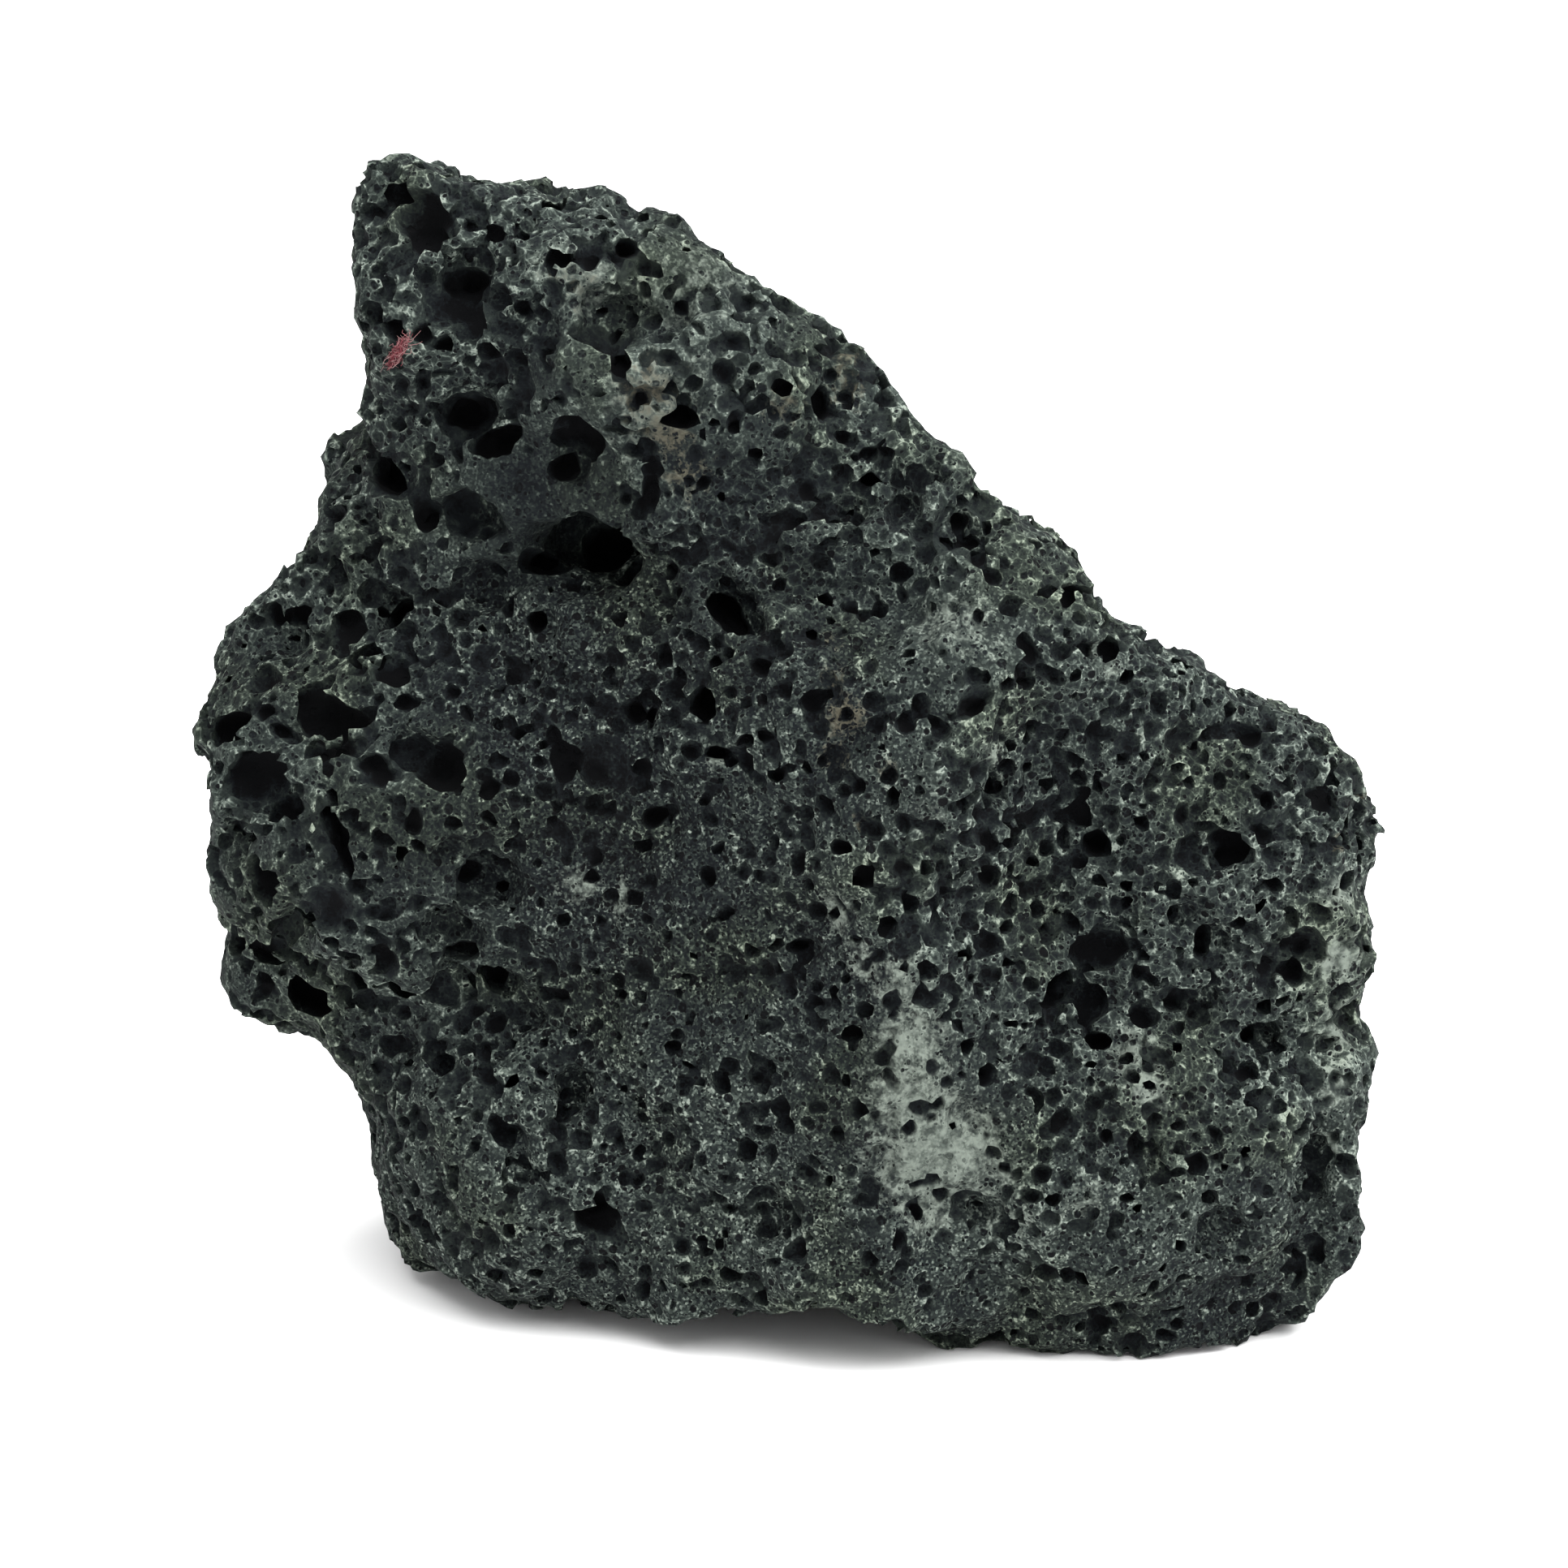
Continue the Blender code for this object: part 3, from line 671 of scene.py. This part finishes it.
# an output socket that takes part in sums
class Wire:
    def __init__(self, finish, socket):
        self.finish = finish
        self.socket = socket

    def sum(self, operation, first, second):
        return self.finish.add("ShaderNodeMath", {"operation": operation}, {0: first, 1: second})

    def __add__(self, other):
        return self.sum("ADD", self, other)

    def __sub__(self, other):
        return self.sum("SUBTRACT", self, other)

    def __rsub__(self, other):
        return self.sum("SUBTRACT", other, self)

    def __mul__(self, other):
        return self.sum("MULTIPLY", self, other)

    def __truediv__(self, other):
        return self.sum("DIVIDE", self, other)

    __radd__ = __add__
    __rmul__ = __mul__


# a material under way
class Finish:
    def __init__(self, name):
        self.material = bpy.data.materials.new(name)
        self.material.use_nodes = True
        self.tree = self.material.node_tree
        self.tree.nodes.clear()

    def add(self, kind, settings, inputs, output=0):
        node = self.tree.nodes.new(kind)
        for name, value in settings.items():
            if name == "stops":
                self.setStops(node.color_ramp, value)
            else:
                setattr(node, name, value)
        for name, value in inputs.items():
            if isinstance(value, Wire):
                self.tree.links.new(value.socket, node.inputs[name])
            else:
                node.inputs[name].default_value = value
        return Wire(self, node.outputs[output])

    def setStops(self, ramp, stops):
        while len(ramp.elements) < len(stops):
            ramp.elements.new(0.5)
        for element, (place, colour) in zip(ramp.elements, stops):
            element.position = place
            element.color = (*colour, 1)

    def layer(self, name):
        return self.add("ShaderNodeAttribute", {"attribute_name": name}, {}, "Fac")

    def place(self):
        return self.add("ShaderNodeTexCoord", {}, {}, "Object")

    # noise with lumps of so many mm, as much below zero as above
    def noise(self, size, detail):
        inputs = {"Vector": self.place(), "Scale": 1 / (size * mm), "Detail": detail, "Roughness": 0.6}
        return self.add("ShaderNodeTexNoise", {}, inputs, "Fac") - 0.5

    # cells so many mm wide
    def cells(self, place, size):
        return self.add("ShaderNodeTexVoronoi", {}, {"Vector": place, "Scale": 1 / (size * mm)})

    # how far a place is from the wall between two such cells
    def edges(self, place, size):
        settings = {"feature": "DISTANCE_TO_EDGE"}
        return self.add("ShaderNodeTexVoronoi", settings, {"Vector": place, "Scale": 1 / (size * mm)})

    # another output of the same node
    def out(self, wire, name):
        return Wire(self, wire.socket.node.outputs[name])

    # a random value for each cell
    def valueOf(self, cells, channel):
        return self.add("ShaderNodeSeparateColor", {}, {"Color": self.out(cells, "Color")}, channel)

    # places pushed about by noise of that size, as far as reach
    def warped(self, size, reach):
        inputs = {"Vector": self.place(), "Scale": 1 / (size * mm), "Detail": 1.0}
        push = self.add("ShaderNodeTexNoise", {}, inputs, "Color")
        scale = (reach * mm,) * 3
        inputs = {0: push, 1: scale, 2: self.place()}
        return self.add("ShaderNodeVectorMath", {"operation": "MULTIPLY_ADD"}, inputs)

    def ramp(self, value, stops):
        return self.add("ShaderNodeValToRGB", {"stops": stops}, {"Fac": value})

    # 0 at low, 1 at high, smooth between
    def step(self, value, low, high):
        inputs = {"Value": value, "From Min": low, "From Max": high}
        return self.add("ShaderNodeMapRange", {"interpolation_type": "SMOOTHSTEP"}, inputs)

    # sockets 6, 7 and 2 are the ones for colours
    def blend(self, share, first, second, how="MIX"):
        settings = {"data_type": "RGBA", "blend_type": how}
        inputs = {0: share, 6: colourOf(first), 7: colourOf(second)}
        return self.add("ShaderNodeMix", settings, inputs, 2)

    def close(self, inputs):
        shader = self.add("ShaderNodeBsdfPrincipled", {}, inputs)
        output = self.tree.nodes.new("ShaderNodeOutputMaterial")
        self.tree.links.new(shader.socket, output.inputs["Surface"])
        return self.material


def colourOf(value):
    return value if isinstance(value, Wire) else (*value, 1)


# sizes are in mm and strengths in tone, and a fade has the values where it starts and ends
basalt = {
    "tones": (  # from the blackest hole to the palest crumb
        (0.0, (0.0006, 0.0008, 0.0012)),
        (0.2, (0.0032, 0.0045, 0.0055)),
        (0.45, (0.0122, 0.0162, 0.0146)),
        (0.65, (0.033, 0.0415, 0.0365)),
        (0.82, (0.074, 0.09, 0.078)),
        (1.0, (0.165, 0.19, 0.165)),
    ),
    "middle": 0.345,  # the tone that all the rest is added to
    "clouds": {"size": 7.0, "detail": 3.0, "strength": 0.25},  # broad mottling
    "crumbs": {"size": 1.6, "detail": 2.0, "strength": 0.2},  # fine mottling
    "grain": {"fade": (-0.6, 0.0), "inBubbles": 0.4, "whereCoarse": 0.35},  # how much of it shows there
    "crystals": {"size": 0.38, "level": 0.3, "inFoam": 0.5, "strength": 0.52, "height": 0.3},
    "clumps": {"clouds": 0.5, "fade": (0.02, 0.2), "strength": 0.3, "crystals": (1.6, 0.4)},  # paler
    "foam": {"clouds": 0.8, "fade": (0.4, 0.9)},  # where the rock is a froth
    "foamCells": {
        "size": 2.0,
        "wall": 0.22,
        "wallFade": (0.08, 0.01),  # against the size, from the wall, and so is the next
        "inside": 0.16,
        "insideFade": (0.1, 0.35),
    },
    "mouths": {"fade": (0.08, 0.0), "gaps": (-0.1, 0.12), "strength": 0.27},  # pale lines round bubbles
    # the next four paint light and shade from the carved shape: a painted highlight on what stands out,
    # partly wear as well, and painted shade in a wider hollow, far below the skin and inside a bubble
    "rims": {"even": 0.47, "strength": 0.2},  # what stands out is paler
    "hollowShade": {"even": 0.5, "strength": 0.37},  # what lies in a wider hollow is darker
    "depthShade": {"fade": (1.1, 4.0), "strength": 0.52},  # and so is what lies far below the skin
    "inside": {"fade": (0.0, -0.8), "strength": 0.07},  # or inside a bubble
    # the light and shade patches are painted light and painted shade
    "light": 0.13,  # what the patches of light and shade add and take
    "shade": 0.14,
    "specular": 0.1,
    "roughness": 0.92,
}

# bubbles too fine to carve, each in a cell of its own, their insides darkened with painted shade
pits = {
    "warp": {"size": 1.3, "reach": 0.8},  # mm, makes the cells uneven
    # mm across a cell, how dark inside and how pale at the rim, then the share of the cells with a pit
    "small": {"size": 1.75, "inside": 0.4, "rim": 0.14, "whereFine": 0.4, "whereFoamy": 0.3, "least": 0.08},
    "pins": {"size": 0.85, "inside": 0.58, "rim": 0.15, "whereFine": 0.4, "whereFoamy": 0.0, "least": 0.2},
    "radius": (0.16, 0.36),  # against the cell: the least, and how much wider it may be
    "darkness": (0.65, 0.7),  # the least, and how much darker it may be
    "doubt": 0.04,  # how softly a cell with a pit turns into one without
    "wall": (1.0, 0.6),  # against the radius, from the edge to where it is deepest
    "innerRim": (0.82, 1.0),
    "outerRim": (1.4, 1.08),
    "depth": 0.3,  # against its width
}

stains = {
    "mottling": {"crumbs": 1.2, "grain": 0.5, "clouds": 0.5},  # frays the edges of dust and rust
    "moss": {"size": 16.0, "clouds": 0.4, "fade": (-0.05, 0.25), "strength": 0.4},
    "mossColour": (0.98, 1.0, 0.72),
    "dust": {"fade": (0.15, 0.95), "mouth": (-0.9, 0.0), "strength": 0.9},
    "dustGrain": {"clouds": 0.6, "crystals": 0.3, "pins": 0.5, "fade": (-0.25, 0.2)},
    "dustColours": ((0.044, 0.053, 0.046), (0.13, 0.15, 0.129)),
    "rust": {"fade": (0.4, 0.9), "tone": (0.2, 0.45), "strength": 0.8},
    "rustColour": (0.051, 0.046, 0.032),
}


# from least to 1 as the share goes from 0 to 1
def atLeast(least, share):
    return share * (1 - least) + least


# one size of pits: what it adds to the tone, painted shade inside and a paler rim, and how deep it is in mm
def pitsOf(f, place, fine, foamy, plan):
    leastRadius, wider = pits["radius"]
    leastDark, darker = pits["darkness"]
    cells = f.cells(place, plan["size"])
    radius = f.valueOf(cells, "Red") * wider + leastRadius
    way = f.out(cells, "Distance") / radius
    share = fine * plan["whereFine"] + foamy * plan["whereFoamy"] + plan["least"]
    chosen = f.step(share - f.valueOf(cells, "Green"), -pits["doubt"], pits["doubt"])
    pit = f.step(way, *pits["wall"]) * chosen
    rim = f.step(way, *pits["innerRim"]) * f.step(way, *pits["outerRim"]) * chosen
    darkness = f.valueOf(cells, "Blue") * darker + leastDark
    depth = pit * radius * (2 * plan["size"] * pits["depth"])
    return rim * plan["rim"] - pit * darkness * plan["inside"], depth


# the cells of the froth: dark inside, painted shade in hollows too fine to carve, with thin pale walls
def foamCells(f, place):
    plan = basalt["foamCells"]
    edge = f.edges(place, plan["size"])
    walls = f.step(edge, *plan["wallFade"]) * plan["wall"]
    return walls - f.step(edge, *plan["insideFade"]) * plan["inside"]


# pale and dark grains, weaker in the foam
def crystals(f, foam):
    plan = basalt["crystals"]
    value = f.valueOf(f.cells(f.place(), plan["size"]), "Blue")
    return (value * value - plan["level"]) * (1 - foam * plan["inFoam"]) * plan["strength"]


# grains that stick together
def clumps(f, crumbs, clouds, crystal):
    plan = basalt["clumps"]
    byCrystal, anyway = plan["crystals"]
    share = f.step(crumbs + clouds * plan["clouds"], *plan["fade"])
    return share * plan["strength"] * (crystal * byCrystal + anyway)


# the thin pale line round a carved bubble, with gaps in it: partly a worn edge, partly a painted highlight
# on the rim
def mouthLines(f, mouth, crumbs):
    plan = basalt["mouths"]
    return f.step(mouth * mouth, *plan["fade"]) * f.step(crumbs, *plan["gaps"]) * plan["strength"]


# how the carved shape changes the tone: painted shade in a wider hollow, far below the skin and inside a
# bubble, and a paler rim on what stands out, partly wear and partly painted highlight
def paintedShapeShading(f, mouth):
    rims, hollowShade, depthShade, inside = (basalt[name] for name in ("rims", "hollowShade", "depthShade", "inside"))
    tone = (rims["even"] - f.layer("near")) * rims["strength"]
    tone = tone + (hollowShade["even"] - f.layer("wide")) * hollowShade["strength"]
    tone = tone - f.step(f.layer("depth"), *depthShade["fade"]) * depthShade["strength"]
    return tone - f.step(mouth, *inside["fade"]) * inside["strength"]


# a faint yellowish green cast here and there
def mossOver(f, colour, clouds):
    plan = stains["moss"]
    share = f.step(f.noise(plan["size"], 0.0) + clouds * plan["clouds"], *plan["fade"])
    return f.blend(share * plan["strength"], colour, stains["mossColour"], "MULTIPLY")


def dustOver(f, colour, mouth, mottling, grain):
    plan = stains["dust"]
    dusty = f.blend(f.step(grain, *stains["dustGrain"]["fade"]), *stains["dustColours"])
    share = f.step(f.layer("dust") + mottling, *plan["fade"]) * f.step(mouth, *plan["mouth"])
    return f.blend(share * plan["strength"], colour, dusty)


def rustOver(f, colour, tone, mottling):
    plan = stains["rust"]
    share = f.step(f.layer("rust") + mottling, *plan["fade"]) * f.step(tone, *plan["tone"])
    return f.blend(share * plan["strength"], colour, stains["rustColour"])


def basaltFinish():
    f = Finish("basalt")
    mouth = f.layer("mouth")
    fine = f.layer("fine")
    foamy = f.layer("foam")
    clouds = f.noise(basalt["clouds"]["size"], basalt["clouds"]["detail"])
    crumbs = f.noise(basalt["crumbs"]["size"], basalt["crumbs"]["detail"])

    # a bubble's own wall is smoother than broken rock
    broken = atLeast(basalt["grain"]["inBubbles"], f.step(mouth, *basalt["grain"]["fade"]))
    rough = broken * atLeast(basalt["grain"]["whereCoarse"], fine)
    foam = f.step(foamy + clouds * basalt["foam"]["clouds"], *basalt["foam"]["fade"]) * broken

    crystal = crystals(f, foam)
    place = f.warped(**pits["warp"])
    small, smallDepth = pitsOf(f, place, fine, foamy, pits["small"])
    pins, _ = pitsOf(f, place, fine, foamy, pits["pins"])
    grain = (crystal + pins + small) * rough
    height = (crystal * basalt["crystals"]["height"] - smallDepth) * rough  # in mm
    bump = f.add("ShaderNodeBump", {}, {"Strength": 1.0, "Distance": mm, "Height": height})

    tone = clouds * basalt["clouds"]["strength"] + crumbs * basalt["crumbs"]["strength"] + basalt["middle"]
    tone = tone + grain + foamCells(f, place) * foam + clumps(f, crumbs, clouds, crystal) * rough
    tone = tone + mouthLines(f, mouth, crumbs) + paintedShapeShading(f, mouth)
    # painted light and painted shade from the patches
    tone = tone + f.layer("light") * basalt["light"] - f.layer("shade") * basalt["shade"]

    mix = stains["mottling"]
    mottling = crumbs * mix["crumbs"] + grain * mix["grain"] + clouds * mix["clouds"]
    mix = stains["dustGrain"]
    dustGrain = crumbs + clouds * mix["clouds"] + crystal * mix["crystals"] + pins * mix["pins"]
    colour = mossOver(f, f.ramp(tone, basalt["tones"]), clouds)
    colour = dustOver(f, colour, mouth, mottling, dustGrain)
    colour = rustOver(f, colour, tone, mottling)
    return f.close(
        {
            "Base Color": colour,
            "Roughness": basalt["roughness"],
            "Specular IOR Level": basalt["specular"],
            "Normal": bump,
        }
    )


rock.data.materials.clear()
rock.data.materials.append(basaltFinish())
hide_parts("lava_rock")
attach(rock, "root")
print("finish on")


# a tuft of dusty red lint caught in a pit
lint = {
    "place": (-60.4, 154.0),  # across and up, as for the bubbles
    "lift": 0.2,  # mm in front of the stone's skin
    "turn": 60.0,  # degrees, the way it lies
    "length": 5.0,  # mm
    "width": 0.75,
    "thickness": 0.9,
    "fibres": 110,
    "strays": 20,
    "steps": 12,  # along each
    "fibre": 0.045,  # mm, half its thickness
    "tip": 0.4,  # against that
    "curl": 0.22,  # mm at each step
    "flatness": 0.6,  # of the curls, out from the stone
    "start": 0.2,  # how far the fibres are spread, against the length, the width and the thickness
    "over": 0.32,
    "out": 0.3,
    "reach": 0.28,  # each way along, against the length
    "point": (1.7, 0.04),  # how fast the tuft narrows to its ends, and what is left there
    "strayMore": {"reach": 0.9, "looseness": 1.2, "shade": 0.5},
    "shade": (2, 4),  # the two numbers of the beta curve that it is drawn from
    "seed": 4,
    "colours": ((0.0, (0.06, 0.012, 0.017)), (0.6, (0.2, 0.05, 0.06)), (1.0, (0.26, 0.16, 0.155))),
    "specular": 0.1,
    "roughness": 0.95,
}


# soft curves along the tuft, the strays longer, looser and paler
def lintPaths():
    lintDraw = np.random.default_rng(lint["seed"])
    count, steps = lint["fibres"] + lint["strays"], lint["steps"]
    shape = (count, steps)
    stray = (np.arange(count) >= lint["fibres"])[:, None]
    more = {name: stray * value for name, value in lint["strayMore"].items()}
    onward = np.linspace(-lint["reach"], lint["reach"], steps) * (1 + more["reach"])
    along = lintDraw.normal(0, lint["start"], (count, 1)) + onward
    speed, least = lint["point"]
    spindle = np.sqrt(np.clip(1 - (along * speed) ** 2, least, 1))
    curls = np.cumsum(lintDraw.normal(0, lint["curl"], (3, *shape)), axis=2)
    curls -= curls.mean(axis=2, keepdims=True)
    curls *= 1 + more["looseness"]
    over = lintDraw.normal(0, lint["over"], (count, 1)) * spindle * lint["width"] + curls[0]
    out = lintDraw.normal(0, lint["out"], (count, 1)) * spindle * lint["thickness"]
    out = out + curls[1] * lint["flatness"]
    along = along * lint["length"] + curls[2]
    shade = lintDraw.beta(*lint["shade"], (count, 1)) + more["shade"]
    return np.stack([along, over, out], axis=2), np.clip(shade + np.zeros(shape), 0, 1)


# closed three-sided threads along the paths, thinner at both tips
def threads(paths):
    count, steps, _ = paths.shape
    skewed = (0.31, 0.52, 0.79)  # a direction that no thread follows
    onward = np.gradient(paths, axis=1)
    onward /= np.linalg.norm(onward, axis=2, keepdims=True)
    first = np.cross(onward, skewed)
    first /= np.linalg.norm(first, axis=2, keepdims=True)
    second = np.cross(onward, first)
    turns = np.arange(3) * math.tau / 3
    fromTip = np.minimum(np.arange(steps), np.arange(steps)[::-1])
    taper = np.minimum(1, lint["tip"] * (1 + fromTip)) * lint["fibre"]
    rings = first[:, :, None] * np.cos(turns)[:, None] + second[:, :, None] * np.sin(turns)[:, None]
    points = paths[:, :, None] + rings * taper[:, None, None]
    ring = np.arange(steps - 1)[:, None] * 3
    side = np.arange(3)
    here, beside = ring + side, ring + (side + 1) % 3
    last = (steps - 1) * 3
    faces = [np.stack([here, beside, beside + 3], 2), np.stack([here, beside + 3, here + 3], 2)]
    tips = np.array([(2, 1, 0), (last, last + 1, last + 2)])
    faces = np.concatenate([*(part.reshape(-1, 3) for part in faces), tips])
    faces = faces[None] + np.arange(count)[:, None, None] * steps * 3
    return points.reshape(-1, 3), faces.reshape(-1, 3)


def lintFinish():
    f = Finish("redLint")
    colour = f.ramp(f.layer("shade"), lint["colours"])
    return f.close(
        {
            "Base Color": colour,
            "Roughness": lint["roughness"],
            "Specular IOR Level": lint["specular"],
        }
    )


def makeLint():
    middle, ray = onStone(*lint["place"], skin)
    middle = middle - ray * lint["lift"]
    turn = math.radians(lint["turn"])
    along = viewRight * math.cos(turn) + viewUp * math.sin(turn)
    outward = skin.slope(middle[None], carving["feltOver"])[0]
    along -= outward * along.dot(outward)
    along /= np.linalg.norm(along)
    paths, shade = lintPaths()
    paths = middle + paths @ np.stack([along, np.cross(along, outward), outward])
    points, faces = threads(paths)
    tuft = bpy.data.objects.new("redLint", newMesh("redLint", points * mm, faces))
    bpy.context.scene.collection.objects.link(tuft)
    writeLayer(tuft.data, "shade", np.repeat(shade.ravel(), 3))  # the same on a thread's three sides
    tuft.data.shade_smooth()
    tuft.data.materials.append(lintFinish())
    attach(tuft, "root")
    print("lint", len(faces), "triangles")


makeLint()


studio = {
    "floorSize": 12.0,  # m
    "floorColour": (0.97, 0.97, 0.97),
    "floorSpecular": 0.2,
    "floorRoughness": 0.9,
    "world": 1.0,  # strength of the plain white light from all round
    "overhead": {"place": (0.2, -0.3, 1.3), "size": 2.0, "power": 66.0},  # m and W
    "side": {"place": (1.1, -0.5, 0.7), "size": 1.2, "power": 15.0},
    "aim": (0, 0, 0.09),  # m, what both lights are turned to
}


def paperFinish():
    f = Finish("paper")
    return f.close(
        {
            "Base Color": (*studio["floorColour"], 1),
            "Roughness": studio["floorRoughness"],
            "Specular IOR Level": studio["floorSpecular"],
        }
    )


def layFloor():
    half = studio["floorSize"] / 2
    corners = np.array([(-half, -half, 0), (half, -half, 0), (half, half, 0), (-half, half, 0)])
    floor = bpy.data.objects.new("floor", newMesh("floor", corners, np.array([[0, 1, 2, 3]])))
    bpy.context.scene.collection.objects.link(floor)
    floor.data.materials.append(paperFinish())


def hangLight(name):
    plan = studio[name]
    data = bpy.data.lights.new(name, "AREA")
    data.energy = plan["power"]
    data.size = plan["size"]
    light = bpy.data.objects.new(name, data)
    light.location = plan["place"]
    aim = Vector(studio["aim"]) - light.location
    light.rotation_euler = aim.to_track_quat("-Z", "Y").to_euler()
    bpy.context.scene.collection.objects.link(light)


def lightWorld():
    world = bpy.data.worlds.new("studio")
    world.use_nodes = True
    world.node_tree.nodes["Background"].inputs["Color"].default_value = (1, 1, 1, 1)
    world.node_tree.nodes["Background"].inputs["Strength"].default_value = studio["world"]
    bpy.context.scene.world = world
    bpy.context.scene.view_settings.view_transform = "Standard"


layFloor()
hangLight("overhead")
hangLight("side")
lightWorld()
print("studio lit")
